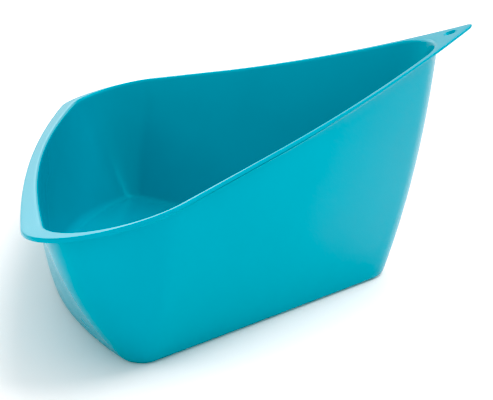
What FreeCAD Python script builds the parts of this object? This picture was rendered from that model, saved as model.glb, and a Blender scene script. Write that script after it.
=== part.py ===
import FreeCAD, Part
import math
import os
import Sketcher
from FreeCAD import Placement, Rotation, Vector

# One-piece moulded dish. +X points to the high tip, +Y to the left of it, +Z up.
# The origin is on the floor plane, halfway along the overall length.

DIMENSIONS = [
    ("wall", 2.0, "thickness of the walls, measured level"),
    ("floor_thickness", 2.2, "thickness of the floor"),
    ("profile_height", 166.0, "height at which the wall profile stops flaring"),
    ("form_height", 152.0, "height of the untrimmed walls"),
    ("low_exponent", 2.93, "how quickly the low end stands up from the floor"),
    ("tip_exponent", 2.40, "how quickly the tip end stands up from the floor"),
    ("base_corner_x", -64.0, "low corner centre at the floor"),
    ("base_corner_y", 124.5, ""),
    ("base_corner_radius", 10.5, ""),
    ("base_end_radius", 237.0, "bowed low end at the floor"),
    ("base_tip_x", 54.0, "tip corner centre at the floor"),
    ("base_tip_radius", 31.7, ""),
    ("top_corner_x", -78.8, "low corner centre at the profile height"),
    ("top_corner_y", 144.8, ""),
    ("top_corner_radius", 40.2, ""),
    ("top_end_radius", 5000.0, "low end almost straight at the profile height"),
    ("top_tip_x", 59.3, "tip corner centre at the profile height"),
    ("top_tip_radius", 44.4, ""),
    ("rim_corner_x", -77.3, "low corner centre of the rim outline"),
    ("rim_corner_y", 140.2, ""),
    ("rim_corner_radius", 40.0, ""),
    ("rim_end_radius", 1330.0, ""),
    ("rim_tip_x", 120.0, "point of the rim tab"),
    ("rim_tip_radius", 5.0, ""),
    ("rim_thickness", 2.0, "thickness of the rim, measured upright"),
    ("rim_middle_z", 98.8, "height of the rim where its line turns to the arc"),
    ("rim_middle_x", -8.4, ""),
    ("rim_slope_angle", 16.4, "rise of the rim over the low half, degrees"),
    ("rim_arc_radius", 890.0, "upward sweep of the rim over the high half"),
    ("rim_reach", 140.0, "half length of the rim side profile"),
    ("cavity_lift", 1.5, "height of the cavity form above the rim"),
    ("rim_blend", 2.4, "inner edge of the rim"),
    ("rim_under_blend", 1.5, "corner under the rim"),
    ("base_edge_radius", 4.0, "outer edge of the floor"),
    ("floor_blend", 7.5, "inner edge of the floor"),
    ("hole_x", 113.0, "hanging hole centre"),
    ("hole_z", 143.4, ""),
    ("hole_slope_angle", 24.7, "tilt of the tab at the hole, degrees"),
    ("hole_radius", 2.9, ""),
    ("hole_depth", 6.0, "length of the hole's cut, more than the tab is thick"),
    ("rim_edge_radius", 0.6, "outer edges of the rim"),
]
LEVELS = [0.0, 7.0, 18.0, 34.0, 56.0, 84.0, 116.0]

doc = FreeCAD.newDocument("kidney_dish")
sheet = doc.addObject("Spreadsheet::Sheet", "dims")
for row, (alias, value, note) in enumerate(DIMENSIONS, start=1):
    sheet.set("A%d" % row, alias)
    sheet.set("B%d" % row, str(value))
    sheet.set("C%d" % row, note)
    sheet.setAlias("B%d" % row, alias)
for index, level in enumerate(LEVELS):
    row = len(DIMENSIONS) + 1 + index
    sheet.set("A%d" % row, "section level")
    sheet.set("B%d" % row, str(level))
    sheet.setAlias("B%d" % row, "level_%d" % index)
doc.recompute()


def dim(alias):
    return float(getattr(sheet, alias))


def origin_plane(body, role):
    for feature in body.Origin.OriginFeatures:
        if feature.Role == role:
            return feature
    raise ValueError(role)


def new_sketch(body, name, role):
    sketch = body.newObject("Sketcher::SketchObject", name)
    sketch.AttachmentSupport = [(origin_plane(body, role), "")]
    sketch.MapMode = "FlatFace"
    return sketch


def arc(centre, radius, start, end):
    circle = Part.Circle(Vector(centre[0], centre[1], 0), Vector(0, 0, 1), radius)
    return Part.ArcOfCircle(circle, start, end)


def polar(centre, radius, angle):
    return Vector(centre[0] + radius * math.cos(angle), centre[1] + radius * math.sin(angle), 0)


def draw_outline(sketch, values, expressions):
    """Rounded triangle: bowed end on the left, two straight sides, rounded tip on the right."""
    corner_x, corner_y, corner_r, end_r, tip_x, tip_r = values
    far = (corner_x, corner_y)
    near = (corner_x, -corner_y)
    tip = (tip_x, 0.0)
    end = (corner_x + math.sqrt((end_r - corner_r) ** 2 - corner_y ** 2), 0.0)
    run = math.hypot(tip_x - corner_x, corner_y)
    side = math.atan2(-corner_y, tip_x - corner_x) + math.acos((corner_r - tip_r) / run)
    bow = math.atan2(corner_y, corner_x - end[0])
    geometry = [
        arc(end, end_r, bow, 2 * math.pi - bow),
        arc(far, corner_r, side, bow),
        Part.LineSegment(polar(far, corner_r, side), polar(tip, tip_r, side)),
        arc(tip, tip_r, -side, side),
        Part.LineSegment(polar(tip, tip_r, -side), polar(near, corner_r, -side)),
        arc(near, corner_r, 2 * math.pi - bow, 2 * math.pi - side),
    ]
    end_arc, far_arc, far_side, tip_arc, near_side, near_arc = range(6)
    start, finish, centre = 1, 2, 3
    sketch.addGeometry(geometry, False)
    for first, first_end, second, second_end in (
        (end_arc, start, far_arc, finish),
        (far_arc, start, far_side, start),
        (far_side, finish, tip_arc, finish),
        (tip_arc, start, near_side, start),
        (near_side, finish, near_arc, finish),
        (near_arc, start, end_arc, finish),
    ):
        sketch.addConstraint(Sketcher.Constraint("Tangent", first, first_end, second, second_end))
    sketch.addConstraint(Sketcher.Constraint("PointOnObject", tip_arc, centre, -1))
    sketch.addConstraint(Sketcher.Constraint("Symmetric", far_arc, centre, near_arc, centre, -1))
    sketch.addConstraint(Sketcher.Constraint("Equal", far_arc, near_arc))
    driven = [
        Sketcher.Constraint("DistanceX", -1, 1, far_arc, centre, corner_x),
        Sketcher.Constraint("DistanceY", -1, 1, far_arc, centre, corner_y),
        Sketcher.Constraint("Radius", far_arc, corner_r),
        Sketcher.Constraint("Radius", end_arc, end_r),
        Sketcher.Constraint("DistanceX", -1, 1, tip_arc, centre, tip_x),
        Sketcher.Constraint("Radius", tip_arc, tip_r),
    ]
    for constraint, expression in zip(driven, expressions):
        number = sketch.addConstraint(constraint)
        sketch.setExpression("Constraints[%d]" % number, expression)


def section_sketch(body, name, level, inset):
    """Wall outline at one level, blended from the floor outline to the top outline."""
    sketch = new_sketch(body, name, "XY_Plane")
    height = dim(level)
    sketch.AttachmentOffset = Placement(Vector(0, 0, height), Rotation())
    sketch.setExpression("AttachmentOffset.Base.z", "dims." + level)
    share = 1 - height / dim("profile_height")
    rise = {end: 1 - share ** dim(end + "_exponent") for end in ("low", "tip")}
    formula = "(1 - (1 - dims.%s / dims.profile_height) ^ dims.%s_exponent)"
    values = []
    expressions = []
    for part, end, shrinks in (
        ("corner_x", "low", False),
        ("corner_y", "low", False),
        ("corner_radius", "low", True),
        ("end_radius", "low", True),
        ("tip_x", "tip", False),
        ("tip_radius", "tip", True),
    ):
        base, top = dim("base_" + part), dim("top_" + part)
        blend = formula % (level, end)
        if part == "end_radius":
            value = 1 / (1 / base + (1 / top - 1 / base) * rise[end])
            text = "1 / (1 / dims.base_%s + (1 / dims.top_%s - 1 / dims.base_%s) * %s)"
        else:
            value = base + (top - base) * rise[end]
            text = "dims.base_%s + (dims.top_%s - dims.base_%s) * %s"
        text = text % (part, part, part, blend)
        if inset and shrinks:
            value -= dim("wall")
            text += " - dims.wall"
        values.append(value)
        expressions.append(text)
    draw_outline(sketch, values, expressions)
    return sketch


def loft(body, name, levels, inset):
    sections = [section_sketch(body, "%s_%s" % (name, level), level, inset) for level in levels]
    doc.recompute()
    feature = body.newObject("PartDesign::AdditiveLoft", name)
    feature.Profile = sections[0]
    feature.Sections = sections[1:]
    feature.Ruled = False
    doc.recompute()
    return feature


def rim_profile(body, name, edge, sign=0, shift_alias=None):
    """Side view of everything between a level edge and the rim line, moved up or down."""
    sketch = new_sketch(body, name, "XZ_Plane")
    angle = math.radians(dim("rim_slope_angle"))
    shift = sign * dim(shift_alias) if sign else 0.0
    reach = dim("rim_reach")
    radius = dim("rim_arc_radius")
    middle = Vector(dim("rim_middle_x"), dim("rim_middle_z") + shift, 0)
    low = Vector(-reach, middle.y + (-reach - middle.x) * math.tan(angle), 0)
    centre = Vector(middle.x - radius * math.sin(angle), middle.y + radius * math.cos(angle), 0)
    turn = math.asin((reach - centre.x) / radius)
    high = Vector(reach, centre.y - radius * math.cos(turn), 0)
    far_low, far_high = Vector(-reach, edge, 0), Vector(reach, edge, 0)
    sketch.addGeometry([
        Part.LineSegment(low, middle),
        arc((centre.x, centre.y), radius, angle - math.pi / 2, turn - math.pi / 2),
        Part.LineSegment(high, far_high),
        Part.LineSegment(far_high, far_low),
        Part.LineSegment(far_low, low),
    ], False)
    sketch.addConstraint(Sketcher.Constraint("Tangent", 0, 2, 1, 1))
    for first, second in ((1, 2), (2, 3), (3, 4), (4, 0)):
        sketch.addConstraint(Sketcher.Constraint("Coincident", first, 2, second, 1))
    sketch.addConstraint(Sketcher.Constraint("Vertical", 2))
    sketch.addConstraint(Sketcher.Constraint("Horizontal", 3))
    sketch.addConstraint(Sketcher.Constraint("Vertical", 4))
    shifted = "dims.rim_middle_z"
    if sign:
        shifted += " %s dims.%s" % ("+" if sign > 0 else "-", shift_alias)
    for constraint, expression in (
        (Sketcher.Constraint("DistanceX", -1, 1, 0, 2, middle.x), "dims.rim_middle_x"),
        (Sketcher.Constraint("DistanceY", -1, 1, 0, 2, middle.y), shifted),
        (Sketcher.Constraint("Angle", 0, angle), "dims.rim_slope_angle * 1 deg"),
        (Sketcher.Constraint("Radius", 1, radius), "dims.rim_arc_radius"),
        (Sketcher.Constraint("DistanceX", -1, 1, 1, 2, reach), "dims.rim_reach"),
        (Sketcher.Constraint("DistanceX", 0, 1, -1, 1, reach), "dims.rim_reach"),
        (Sketcher.Constraint("DistanceY", -1, 1, 2, 2, edge), None),
    ):
        number = sketch.addConstraint(constraint)
        if expression:
            sketch.setExpression("Constraints[%d]" % number, expression)
    return sketch


def cut_through(body, name, sketch):
    """Pocket to both sides of the sketch plane."""
    doc.recompute()
    before = body.Shape.Volume
    pocket = body.newObject("PartDesign::Pocket", name)
    pocket.Profile = sketch
    pocket.Midplane = True
    pocket.Length = 2 * (dim("top_corner_y") + 2 * dim("top_corner_radius"))
    doc.recompute()
    if not body.Shape.Volume < before - 1:
        raise RuntimeError(name + " cuts nothing")
    return pocket


def fillet(body, name, chosen, radius_alias):
    doc.recompute()
    base = body.Tip
    names = ["Edge%d" % (i + 1) for i, edge in enumerate(base.Shape.Edges) if chosen(edge)]
    if not names:
        raise RuntimeError(name + " finds no edge")
    feature = body.newObject("PartDesign::Fillet", name)
    feature.Base = (base, names)
    feature.Radius = dim(radius_alias)
    feature.setExpression("Radius", "dims." + radius_alias)
    doc.recompute()
    return feature


def lies_at(height):
    return lambda edge: abs(edge.BoundBox.ZMin - height) < 0.01 and edge.BoundBox.ZLength < 0.02


def rim_height(x):
    """Height of the top of the rim over a point of the centre line."""
    angle = math.radians(dim("rim_slope_angle"))
    run = x - dim("rim_middle_x")
    if run <= 0:
        return dim("rim_middle_z") + run * math.tan(angle)
    radius = dim("rim_arc_radius")
    swept = run + radius * math.sin(angle)
    return dim("rim_middle_z") + radius * math.cos(angle) - math.sqrt(radius ** 2 - swept ** 2)


def on_rim(outline, lowered, outermost):
    """Edges of the rim's top or underside, along the rim outline or along the walls."""
    def chosen(edge):
        points = edge.discretize(7)
        if any(abs(point.z + lowered - rim_height(point.x)) > 0.02 for point in points):
            return False
        middle = points[3]
        if math.hypot(middle.x - dim("hole_x"), middle.y) < 2 * dim("hole_radius"):
            return False
        gap = outline.distToShape(Part.Vertex(middle.x, middle.y, 0))[0]
        return (gap < 0.02) == outermost
    return chosen


all_levels = ["level_%d" % index for index in range(len(LEVELS))]

# The outer form of the walls, trimmed to the rim line.
dish = doc.addObject("PartDesign::Body", "dish_shell")
dish.Label = "dish_shell"
loft(dish, "wall_form", all_levels + ["form_height"], False)
cut_through(dish, "rim_trim", rim_profile(dish, "rim_line", 260.0))
fillet(dish, "base_edge", lies_at(0.0), "base_edge_radius")

# The rim: a band that follows the rim line inside the rim outline.
rim = doc.addObject("PartDesign::Body", "rim_band")
rim_outline = new_sketch(rim, "rim_outline", "XY_Plane")
rim_parts = ("corner_x", "corner_y", "corner_radius", "end_radius", "tip_x", "tip_radius")
draw_outline(
    rim_outline,
    [dim("rim_" + part) for part in rim_parts],
    ["dims.rim_" + part for part in rim_parts],
)
rim_block = rim.newObject("PartDesign::Pad", "rim_block")
rim_block.Profile = rim_outline
rim_block.Length = dim("profile_height")
rim_block.setExpression("Length", "dims.profile_height")
doc.recompute()
cut_through(rim, "rim_top", rim_profile(rim, "rim_top_line", 260.0))
cut_through(rim, "rim_bottom", rim_profile(rim, "rim_bottom_line", -20.0, -1, "rim_thickness"))

# The cavity, which is cut out of the walls and the rim together.
cavity = doc.addObject("PartDesign::Body", "cavity")
loft(cavity, "cavity_form", ["floor_thickness"] + all_levels[1:] + ["form_height"], True)
cut_through(cavity, "cavity_top", rim_profile(cavity, "cavity_top_line", 260.0, 1, "cavity_lift"))
fillet(cavity, "floor_edge", lies_at(dim("floor_thickness")), "floor_blend")

for name, kind, tool in (("rim_joined", "Fuse", rim), ("hollowed", "Cut", cavity)):
    boolean = dish.newObject("PartDesign::Boolean", name)
    boolean.Type = kind
    boolean.setObjects([tool])
    doc.recompute()

thickness = dim("rim_thickness")
fillet(dish, "rim_inner_edge", on_rim(rim_outline.Shape, 0.0, False), "rim_blend")
fillet(dish, "rim_under_corner", on_rim(rim_outline.Shape, thickness, False), "rim_under_blend")
fillet(dish, "rim_top_edge", on_rim(rim_outline.Shape, 0.0, True), "rim_edge_radius")
fillet(dish, "rim_bottom_edge", on_rim(rim_outline.Shape, thickness, True), "rim_edge_radius")

# The hanging hole goes square through the sloping tab.
hole_sketch = new_sketch(dish, "hole_circle", "XY_Plane")
hole_sketch.AttachmentOffset = Placement(
    Vector(dim("hole_x"), 0, dim("hole_z")), Rotation(Vector(0, 1, 0), -dim("hole_slope_angle")))
for path, expression in (
    ("Base.x", "dims.hole_x"),
    ("Base.z", "dims.hole_z"),
    ("Rotation.Angle", "-dims.hole_slope_angle * 1 deg"),
):
    hole_sketch.setExpression("AttachmentOffset." + path, expression)
hole_sketch.addGeometry(Part.Circle(Vector(0, 0, 0), Vector(0, 0, 1), dim("hole_radius")), False)
hole_sketch.addConstraint(Sketcher.Constraint("Coincident", 0, 3, -1, 1))
number = hole_sketch.addConstraint(Sketcher.Constraint("Radius", 0, dim("hole_radius")))
hole_sketch.setExpression("Constraints[%d]" % number, "dims.hole_radius")
doc.recompute()
before_hole = dish.Shape.Volume
hole = dish.newObject("PartDesign::Pocket", "hanging_hole")
hole.Profile = hole_sketch
hole.Midplane = True
hole.Length = dim("hole_depth")
hole.setExpression("Length", "dims.hole_depth")
doc.recompute()
tab_thickness = dim("rim_thickness") * math.cos(math.radians(dim("hole_slope_angle")))
expected = math.pi * dim("hole_radius") ** 2 * tab_thickness
if abs(before_hole - dish.Shape.Volume - expected) > 0.05 * expected:
    raise RuntimeError("hanging_hole doesn't go square through the tab")

for feature in doc.Objects:
    if "Invalid" in feature.State or "Error" in feature.State:
        raise RuntimeError("%s failed: %s" % (feature.Name, feature.State))
if dish.Shape.isNull() or not dish.Shape.isValid() or len(dish.Shape.Solids) != 1:
    raise RuntimeError("dish_shell isn't one valid solid")

os.makedirs("parts", exist_ok=True)
dish.Shape.exportStep("parts/dish_shell.step")
box = dish.Shape.BoundBox
print("dish_shell %.1f x %.1f x %.1f mm" % (box.XLength, box.YLength, box.ZLength))
print("volume %.0f mm3" % dish.Shape.Volume)
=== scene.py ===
import math

import bmesh
import bpy
from mathutils import Matrix, Vector


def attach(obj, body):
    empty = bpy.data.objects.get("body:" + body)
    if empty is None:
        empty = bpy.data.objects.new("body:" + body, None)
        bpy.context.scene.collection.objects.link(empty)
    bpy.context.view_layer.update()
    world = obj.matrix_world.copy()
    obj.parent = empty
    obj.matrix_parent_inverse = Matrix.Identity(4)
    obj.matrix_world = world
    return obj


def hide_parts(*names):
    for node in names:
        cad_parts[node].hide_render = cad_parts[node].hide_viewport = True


# Lengths are metres in the row frame: +X to the high tip, +Z up, the near side is -Y.

CAMERA_PLACE = Vector((-0.07927, -0.52112, 0.18685))
CAMERA_AZIMUTH = -0.15005
CAMERA_ELEVATION = 0.27070
CAMERA_ROLL = 0.06281
CAMERA_LENS = 67.36
CAMERA_SENSOR = 36.0

FLOOR_DROP = 0.0002
FLOOR_SIZE = 30
KEY_ANGLE = math.radians(50)
KEY_DIRECTION = (0.40, 0.12, 0.91)
KEY_STRENGTH = 2.3
FILL_SIZE = (0.7, 0.7)
FILLS = (("left_fill", (-1.1, -0.6, 0.6), 2.5), ("front_fill", (0.3, -1.4, 0.25), 2.5))
RED_BLACK_POINT = 0.08

# The dish's own dimensions, in millimetres, as in its CAD: rounded triangles of
# corner x, corner y, corner radius, end radius, tip x and tip radius.
BASE_FORM = (-64.0, 124.5, 10.5, 237.0, 54.0, 31.7)
TOP_FORM = (-78.8, 144.8, 40.2, 5000.0, 59.3, 44.4)
RIM_FORM = (-77.3, 140.2, 40.0, 1330.0, 120.0, 5.0)
PROFILE_HEIGHT = 166.0
LOW_EXPONENT = 2.93
TIP_EXPONENT = 2.40
WALL = 2.0
FLOOR_THICKNESS = 2.2
RIM_THICKNESS = 2.0
RIM_MIDDLE = (-8.4, 98.8)
RIM_SLOPE = math.radians(16.4)
RIM_ARC_RADIUS = 890.0
RIM_EDGE = 0.6
RIM_BLEND = 2.2
RIM_UNDER_BLEND = 1.5
BASE_EDGE_RADIUS = 4.0
FLOOR_BLEND = 7.5
HOLE_CENTRE = (113.0, 0.0, 143.4)
HOLE_TILT = math.radians(24.7)
HOLE_RADIUS = 2.9
HOLE_CHAMFER = 0.2
UP = Vector((0, 0, 1))

COLUMNS = {
    "tip": 60,
    "far_side": 52,
    "far_corner": 44,
    "end": 60,
    "near_corner": 44,
    "near_side": 52,
}
TIP_CROWDING = 2.0
FLOOR_CENTRE = (-22.0, 0.0)
FLOOR_RINGS = (0.3, 0.6, 0.88)
MILLIMETRE = 0.001

# How many steps each stretch of the moulding is drawn in.
BASE_EDGE_STEPS = 7
OUTER_WALL_POINTS = 26
RIM_UNDER_STEPS = 5
RIM_UNDERSIDE_POINTS = 5
RIM_EDGE_STEPS = 4
RIM_TOP_POINTS = 7
RIM_INNER_STEPS = 9
INNER_WALL_POINTS = 30
FLOOR_BLEND_STEPS = 12
HOLE_STEPS = 48
SHARP_ANGLE = math.radians(34)
TIP_LEVEL = 132.0


def rim_height(x):
    run = x - RIM_MIDDLE[0]
    if run <= 0:
        return RIM_MIDDLE[1] + run * math.tan(RIM_SLOPE)
    swept = run + RIM_ARC_RADIUS * math.sin(RIM_SLOPE)
    fall = math.sqrt(RIM_ARC_RADIUS ** 2 - swept ** 2)
    return RIM_MIDDLE[1] + RIM_ARC_RADIUS * math.cos(RIM_SLOPE) - fall


def rim_rise(x):
    return (rim_height(x + 0.01) - rim_height(x - 0.01)) / 0.02


def form_at(z):
    """The wall's rounded triangle at one height."""
    share = 1 - z / PROFILE_HEIGHT
    low = 1 - share ** LOW_EXPONENT
    tip = 1 - share ** TIP_EXPONENT
    base, top = BASE_FORM, TOP_FORM
    values = [b + (t - b) * low for b, t in zip(base[:3], top[:3])]
    values.append(1 / (1 / base[3] + (1 / top[3] - 1 / base[3]) * low))
    values += [b + (t - b) * tip for b, t in zip(base[4:], top[4:])]
    return values


def side_angle(form):
    corner_x, corner_y, corner_r, _, tip_x, tip_r = form
    run = math.hypot(tip_x - corner_x, corner_y)
    return math.atan2(-corner_y, tip_x - corner_x) + math.acos((corner_r - tip_r) / run)


def around(centre, radius, angle):
    return centre[0] + radius * math.cos(angle), centre[1] + radius * math.sin(angle)


def mix(a, b, share):
    return tuple(p + (q - p) * share for p, q in zip(a, b))


def outline_point(form, segment, part, inset=0.0):
    """A point of a rounded triangle and the direction that it faces."""
    corner_x, corner_y, corner_r, end_r, tip_x, tip_r = form
    side = side_angle(form)
    end = (corner_x + math.sqrt((end_r - corner_r) ** 2 - corner_y ** 2), 0.0)
    bow = math.atan2(corner_y, corner_x - end[0])
    far, near, tip = (corner_x, corner_y), (corner_x, -corner_y), (tip_x, 0.0)
    if segment == "tip":
        spread = 2 * part - 1
        angle = side * math.copysign(abs(spread) ** TIP_CROWDING, spread)
        return around(tip, tip_r - inset, angle), angle
    if segment == "far_side":
        start, finish = around(tip, tip_r - inset, side), around(far, corner_r - inset, side)
        return mix(start, finish, part), side
    if segment == "near_side":
        start, finish = around(near, corner_r - inset, -side), around(tip, tip_r - inset, -side)
        return mix(start, finish, part), -side
    if segment == "far_corner":
        angle = side + (bow - side) * part
        return around(far, corner_r - inset, angle), angle
    if segment == "near_corner":
        angle = 2 * math.pi - bow + (bow - side) * part
        return around(near, corner_r - inset, angle), angle
    angle = bow + (2 * math.pi - 2 * bow) * part
    return around(end, end_r - inset, angle), angle


TIP_SPREAD = side_angle(form_at(TIP_LEVEL))
TIP_CENTRE_X = form_at(TIP_LEVEL)[4]


def rim_ray(angle):
    """Where a ray from the tip's centre leaves the rim, and the direction the rim faces there."""
    side = side_angle(RIM_FORM)
    tab_x, tab_r = RIM_FORM[4:]
    turn = math.copysign(side, angle)
    length = ((tab_x - TIP_CENTRE_X) * math.cos(side) + tab_r) / math.cos(angle - turn)
    x, y = TIP_CENTRE_X + length * math.cos(angle), length * math.sin(angle)
    if abs(y) >= tab_r * math.sin(side):
        return (x, y), turn
    reach = tab_x - TIP_CENTRE_X
    length = reach * math.cos(angle) + math.sqrt(tab_r ** 2 - (reach * math.sin(angle)) ** 2)
    x, y = TIP_CENTRE_X + length * math.cos(angle), length * math.sin(angle)
    return (x, y), math.atan2(y, x - tab_x)


def rim_point(segment, part):
    side = side_angle(RIM_FORM)
    if segment == "tip":
        spread = 2 * part - 1
        return rim_ray(TIP_SPREAD * math.copysign(abs(spread) ** TIP_CROWDING, spread))
    if segment == "far_side":
        return mix(rim_ray(TIP_SPREAD)[0], outline_point(RIM_FORM, "far_side", 1.0)[0], part), side
    if segment == "near_side":
        return mix(outline_point(RIM_FORM, "near_side", 0.0)[0], rim_ray(-TIP_SPREAD)[0], part), -side
    return outline_point(RIM_FORM, segment, part)


def bend(start, leave, finish, arrive, steps):
    """Points strictly between two ends along a near-circular bend with the given directions."""
    leave, arrive = leave.normalized(), arrive.normalized()
    turn = max(leave.angle(arrive), 0.02)
    handle = (finish - start).length * 4 / 3 * math.tan(turn / 4) / (2 * math.sin(turn / 2))
    a, b = start + leave * handle, finish - arrive * handle
    points = []
    for step in range(1, steps):
        t = step / steps
        points.append(start * (1 - t) ** 3 + a * 3 * t * (1 - t) ** 2
                      + b * 3 * t * t * (1 - t) + finish * t ** 3)
    return points


def spaced(first, last, count):
    return [first + (last - first) * k / (count - 1) for k in range(count)]


def column(segment, part):
    """The moulding over one place of its outline, from the underside round to the inner floor."""
    def wall(z, inset=0.0):
        (x, y), _ = outline_point(form_at(z), segment, part, inset)
        return Vector((x, y, z))

    def wall_rise(z, inset=0.0):
        return (wall(z + 0.2, inset) - wall(z - 0.2, inset)).normalized()

    def facing(z):
        angle = outline_point(form_at(z), segment, part)[1]
        return Vector((math.cos(angle), math.sin(angle), 0))

    def meeting(inset, drop):
        z = 100.0
        for _ in range(25):
            z = rim_height(wall(z, inset).x) - drop
        return z

    def on_rim(x, y, drop=0.0):
        return Vector((x, y, rim_height(x) - drop))

    def along_rim(direction, x):
        return Vector((direction.x, direction.y, rim_rise(x) * direction.x))

    points = []
    out = facing(0.0)
    flare = wall_rise(0.3)
    setback = BASE_EDGE_RADIUS * math.tan((math.pi - (-out).angle(flare)) / 2)
    start = wall(0.0) - out * setback
    low = setback * flare.z
    for ring in FLOOR_RINGS:
        points.append(Vector((*mix(FLOOR_CENTRE, start[:2], ring), 0.0)))
    points.append(start)
    points += bend(start, out, wall(low), wall_rise(low), BASE_EDGE_STEPS)
    under_z = meeting(0.0, RIM_THICKNESS)
    high = under_z - RIM_UNDER_BLEND
    points += [wall(z) for z in spaced(low, high, OUTER_WALL_POINTS)]
    out = facing(under_z)
    place = wall(under_z) + out * RIM_UNDER_BLEND
    finish = on_rim(place.x, place.y, RIM_THICKNESS)
    points += bend(wall(high), wall_rise(high), finish, along_rim(out, place.x), RIM_UNDER_STEPS)
    (rim_x, rim_y), rim_angle = rim_point(segment, part)
    rim_out = Vector((math.cos(rim_angle), math.sin(rim_angle), 0))
    edge = Vector((rim_x, rim_y, 0)) - rim_out * RIM_EDGE
    for share in spaced(0.0, 1.0, RIM_UNDERSIDE_POINTS):
        x, y = mix(finish[:2], edge[:2], share)
        points.append(on_rim(x, y, RIM_THICKNESS))
    lower = on_rim(rim_x, rim_y, RIM_THICKNESS - RIM_EDGE)
    upper = on_rim(rim_x, rim_y, RIM_EDGE)
    points += bend(points[-1], along_rim(rim_out, edge.x), lower, UP, RIM_EDGE_STEPS)
    points += [lower, upper]
    top = on_rim(edge.x, edge.y)
    points += bend(upper, UP, top, along_rim(-rim_out, edge.x), RIM_EDGE_STEPS)
    inner_z = meeting(WALL, 0.0)
    out = facing(inner_z)
    place = wall(inner_z, WALL) + out * RIM_BLEND
    start = on_rim(place.x, place.y)
    for share in spaced(0.0, 1.0, RIM_TOP_POINTS):
        x, y = mix(top[:2], start[:2], share)
        points.append(on_rim(x, y))
    high = inner_z - RIM_BLEND
    arrive = -wall_rise(high, WALL)
    points += bend(start, along_rim(-out, place.x), wall(high, WALL), arrive, RIM_INNER_STEPS)
    out = facing(FLOOR_THICKNESS)
    flare = wall_rise(FLOOR_THICKNESS + 1.5, WALL)
    setback = FLOOR_BLEND * math.tan((math.pi - (-out).angle(flare)) / 2)
    low = FLOOR_THICKNESS + setback * flare.z
    points += [wall(z, WALL) for z in spaced(high, low, INNER_WALL_POINTS)]
    floor = wall(FLOOR_THICKNESS, WALL) - out * setback
    points += bend(wall(low, WALL), -wall_rise(low, WALL), floor, -out, FLOOR_BLEND_STEPS)
    points.append(floor)
    for ring in reversed(FLOOR_RINGS):
        points.append(Vector((*mix(FLOOR_CENTRE, floor[:2], ring), FLOOR_THICKNESS)))
    return points


def hole_cutter():
    """A turned plug through the tab, a little wider where it leaves each face."""
    half = RIM_THICKNESS * math.cos(HOLE_TILT) / 2
    flare = HOLE_CHAMFER * 5
    profile = [(-half - flare, HOLE_RADIUS + HOLE_CHAMFER + flare),
               (-half + HOLE_CHAMFER, HOLE_RADIUS),
               (half - HOLE_CHAMFER, HOLE_RADIUS),
               (half + flare, HOLE_RADIUS + HOLE_CHAMFER + flare)]
    middle = Vector((-math.sin(HOLE_TILT), 0, math.cos(HOLE_TILT))) * -half
    place = Matrix.Translation(Vector(HOLE_CENTRE)) @ Matrix.Rotation(-HOLE_TILT, 4, "Y")
    place = Matrix.Translation(middle) @ place
    made = bmesh.new()
    rings = []
    for height, radius in profile:
        ring = []
        for k in range(HOLE_STEPS):
            angle = 2 * math.pi * k / HOLE_STEPS
            spot = Vector((radius * math.cos(angle), radius * math.sin(angle), height))
            ring.append(made.verts.new(place @ spot * MILLIMETRE))
        rings.append(ring)
    for lower, upper in zip(rings, rings[1:]):
        for k in range(HOLE_STEPS):
            n = (k + 1) % HOLE_STEPS
            made.faces.new((lower[k], lower[n], upper[n], upper[k]))
    made.faces.new(list(reversed(rings[0])))
    made.faces.new(rings[-1])
    mesh = bpy.data.meshes.new("hole_cutter")
    made.to_mesh(mesh)
    made.free()
    cutter = bpy.data.objects.new("hole_cutter", mesh)
    bpy.context.scene.collection.objects.link(cutter)
    return cutter


def make_shell():
    places = [(name, k / count) for name, count in COLUMNS.items() for k in range(count)]
    made = bmesh.new()
    grid = [[made.verts.new(point * MILLIMETRE) for point in column(*place)] for place in places]
    rows = len(grid[0])
    for index, here in enumerate(grid):
        there = grid[(index + 1) % len(grid)]
        for row in range(rows - 1):
            made.faces.new((here[row], there[row], there[row + 1], here[row + 1]))
    for row, height, flip in ((0, 0.0, True), (rows - 1, FLOOR_THICKNESS, False)):
        centre = made.verts.new(Vector((*FLOOR_CENTRE, height)) * MILLIMETRE)
        for index, here in enumerate(grid):
            there = grid[(index + 1) % len(grid)]
            corners = (here[row], there[row], centre)
            made.faces.new(corners if not flip else tuple(reversed(corners)))
    bmesh.ops.recalc_face_normals(made, faces=made.faces)
    for face in made.faces:
        face.smooth = True
    mesh = bpy.data.meshes.new("dish_moulding")
    made.to_mesh(mesh)
    made.free()
    shell = bpy.data.objects.new("dish_moulding", mesh)
    bpy.context.scene.collection.objects.link(shell)
    cutter = hole_cutter()
    boolean = shell.modifiers.new("hanging_hole", "BOOLEAN")
    boolean.operation = "DIFFERENCE"
    boolean.solver = "EXACT"
    boolean.object = cutter
    bpy.context.view_layer.update()
    cut = bpy.data.meshes.new_from_object(shell.evaluated_get(bpy.context.evaluated_depsgraph_get()))
    shell.modifiers.clear()
    shell.data = cut
    bpy.data.objects.remove(cutter)
    cut.set_sharp_from_angle(angle=SHARP_ANGLE)
    return shell


def make_material(name):
    material = bpy.data.materials.new(name)
    material.use_nodes = True
    nodes = material.node_tree.nodes
    nodes.clear()
    output = nodes.new("ShaderNodeOutputMaterial")
    shader = nodes.new("ShaderNodeBsdfPrincipled")
    material.node_tree.links.new(shader.outputs["BSDF"], output.inputs["Surface"])
    return material, nodes, material.node_tree.links, shader


def noise(nodes, links, source, scale, detail):
    texture = nodes.new("ShaderNodeTexNoise")
    texture.inputs["Scale"].default_value = scale
    texture.inputs["Detail"].default_value = detail
    links.new(source, texture.inputs["Vector"])
    return texture.outputs["Fac"]


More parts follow.
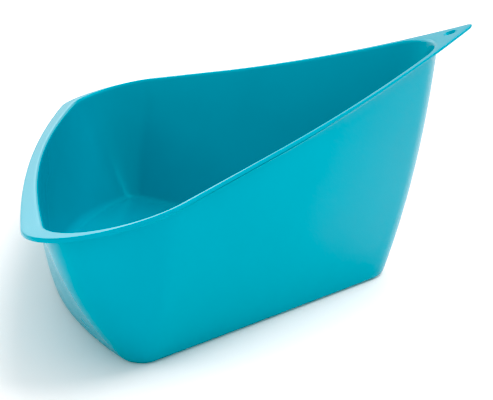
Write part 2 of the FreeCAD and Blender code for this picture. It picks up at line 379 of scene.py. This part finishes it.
def ranged(nodes, links, value, low, high):
    """Takes the middle of a noise to a range of values."""
    mapping = nodes.new("ShaderNodeMapRange")
    mapping.inputs["From Min"].default_value = 0.3
    mapping.inputs["From Max"].default_value = 0.7
    mapping.inputs["To Min"].default_value = low
    mapping.inputs["To Max"].default_value = high
    links.new(value, mapping.inputs["Value"])
    return mapping.outputs["Result"]


def plastic():
    """Turquoise polypropylene, glossy from the mould, a little uneven in tint and polish."""
    material, nodes, links, shader = make_material("turquoise_plastic")
    place = nodes.new("ShaderNodeTexCoord").outputs["Object"]
    ramp = nodes.new("ShaderNodeValToRGB")
    ramp.color_ramp.elements[0].position = 0.3
    ramp.color_ramp.elements[0].color = (0.0, 0.248, 0.345, 1)
    ramp.color_ramp.elements[1].position = 0.7
    ramp.color_ramp.elements[1].color = (0.0, 0.268, 0.370, 1)
    links.new(noise(nodes, links, place, 14.0, 3.0), ramp.inputs["Fac"])
    links.new(ramp.outputs["Color"], shader.inputs["Base Color"])
    polish = ranged(nodes, links, noise(nodes, links, place, 30.0, 2.0), 0.21, 0.27)
    links.new(polish, shader.inputs["Roughness"])
    bump = nodes.new("ShaderNodeBump")
    bump.inputs["Strength"].default_value = 0.05
    bump.inputs["Distance"].default_value = 0.0004
    links.new(noise(nodes, links, place, 22.0, 0.0), bump.inputs["Height"])
    links.new(bump.outputs["Normal"], shader.inputs["Normal"])
    shader.inputs["IOR"].default_value = 1.38
    shader.inputs["Specular Tint"].default_value = (0.12, 0.75, 0.90, 1)
    return material


def make_camera():
    camera = bpy.data.objects.new("camera", bpy.data.cameras.new("camera"))
    bpy.context.scene.collection.objects.link(camera)
    camera.data.sensor_width = CAMERA_SENSOR
    camera.data.lens = CAMERA_LENS
    camera.data.clip_start = 0.01
    camera.data.clip_end = 20.0
    a, e = CAMERA_AZIMUTH, CAMERA_ELEVATION
    back = Vector((math.sin(a) * math.cos(e), -math.cos(a) * math.cos(e), math.sin(e)))
    right = Vector((math.cos(a), math.sin(a), 0))
    up = back.cross(right)
    c, s = math.cos(CAMERA_ROLL), math.sin(CAMERA_ROLL)
    axes = Matrix((c * right + s * up, c * up - s * right, back)).transposed()
    camera.matrix_world = Matrix.Translation(CAMERA_PLACE) @ axes.to_4x4()
    bpy.context.scene.camera = camera
    return camera


def area_light(name, place, target, size, power):
    light = bpy.data.lights.new(name, "AREA")
    light.shape = "RECTANGLE"
    light.size, light.size_y = size
    light.energy = power
    obj = bpy.data.objects.new(name, light)
    bpy.context.scene.collection.objects.link(obj)
    obj.location = place
    obj.rotation_mode = "QUATERNION"
    obj.rotation_quaternion = (Vector(target) - Vector(place)).to_track_quat("-Z", "Y")
    return obj


def soft_sun(name, direction, strength):
    """A very large softbox far away: even light over the whole floor, with soft shadows."""
    light = bpy.data.lights.new(name, "SUN")
    light.energy = strength
    light.angle = KEY_ANGLE
    obj = bpy.data.objects.new(name, light)
    bpy.context.scene.collection.objects.link(obj)
    obj.rotation_mode = "QUATERNION"
    obj.rotation_quaternion = Vector(direction).to_track_quat("Z", "Y")
    return obj


def make_floor():
    bpy.ops.mesh.primitive_plane_add(size=FLOOR_SIZE, location=(0, 0, -FLOOR_DROP))
    floor = bpy.context.object
    floor.name = "floor"
    material, _, _, shader = make_material("floor_paper")
    shader.inputs["Base Color"].default_value = (0.93, 0.905, 0.895, 1)
    shader.inputs["Roughness"].default_value = 0.85
    shader.inputs["Specular IOR Level"].default_value = 0.2
    floor.data.materials.append(material)
    return floor


def make_world():
    world = bpy.data.worlds.new("studio")
    bpy.context.scene.world = world
    world.use_nodes = True
    nodes, links = world.node_tree.nodes, world.node_tree.links
    split = nodes.new("ShaderNodeSeparateXYZ")
    links.new(nodes.new("ShaderNodeTexCoord").outputs["Generated"], split.inputs["Vector"])
    ramp = nodes.new("ShaderNodeValToRGB")
    ramp.color_ramp.elements[0].position = 0.10
    ramp.color_ramp.elements[0].color = (1.0, 1.0, 1.0, 1)
    ramp.color_ramp.elements[1].position = 0.70
    ramp.color_ramp.elements[1].color = (0.95, 0.95, 0.95, 1)
    links.new(split.outputs["Z"], ramp.inputs["Fac"])
    links.new(ramp.outputs["Color"], nodes["Background"].inputs["Color"])


def grade():
    """The deep turquoise has almost no red in it, which a slight red black point keeps true."""
    settings = bpy.context.scene.view_settings
    settings.view_transform = "Standard"
    settings.use_curve_mapping = True
    settings.curve_mapping.black_level = (RED_BLACK_POINT, 0.0, 0.0)
    settings.curve_mapping.update()


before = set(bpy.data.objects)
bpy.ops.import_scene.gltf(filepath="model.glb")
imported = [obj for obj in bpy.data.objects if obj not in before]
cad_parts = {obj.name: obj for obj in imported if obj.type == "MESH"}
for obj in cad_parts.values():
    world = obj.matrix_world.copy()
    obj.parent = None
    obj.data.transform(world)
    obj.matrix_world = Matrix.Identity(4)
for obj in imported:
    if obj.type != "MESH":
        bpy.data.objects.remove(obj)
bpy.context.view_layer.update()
shell = make_shell()
shell.data.materials.clear()
shell.data.materials.append(plastic())
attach(shell, "root")
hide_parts("dish_shell")
make_camera()
make_floor()
make_world()
soft_sun("key", KEY_DIRECTION, KEY_STRENGTH)
area_light("back_softbox", (-0.65, 1.6, 0.84), (-0.1, 0, 0.10), (1.3, 0.8), 5.5)
for name, place, power in FILLS:
    area_light(name, place, (0, 0, 0.03), FILL_SIZE, power).visible_glossy = False
grade()
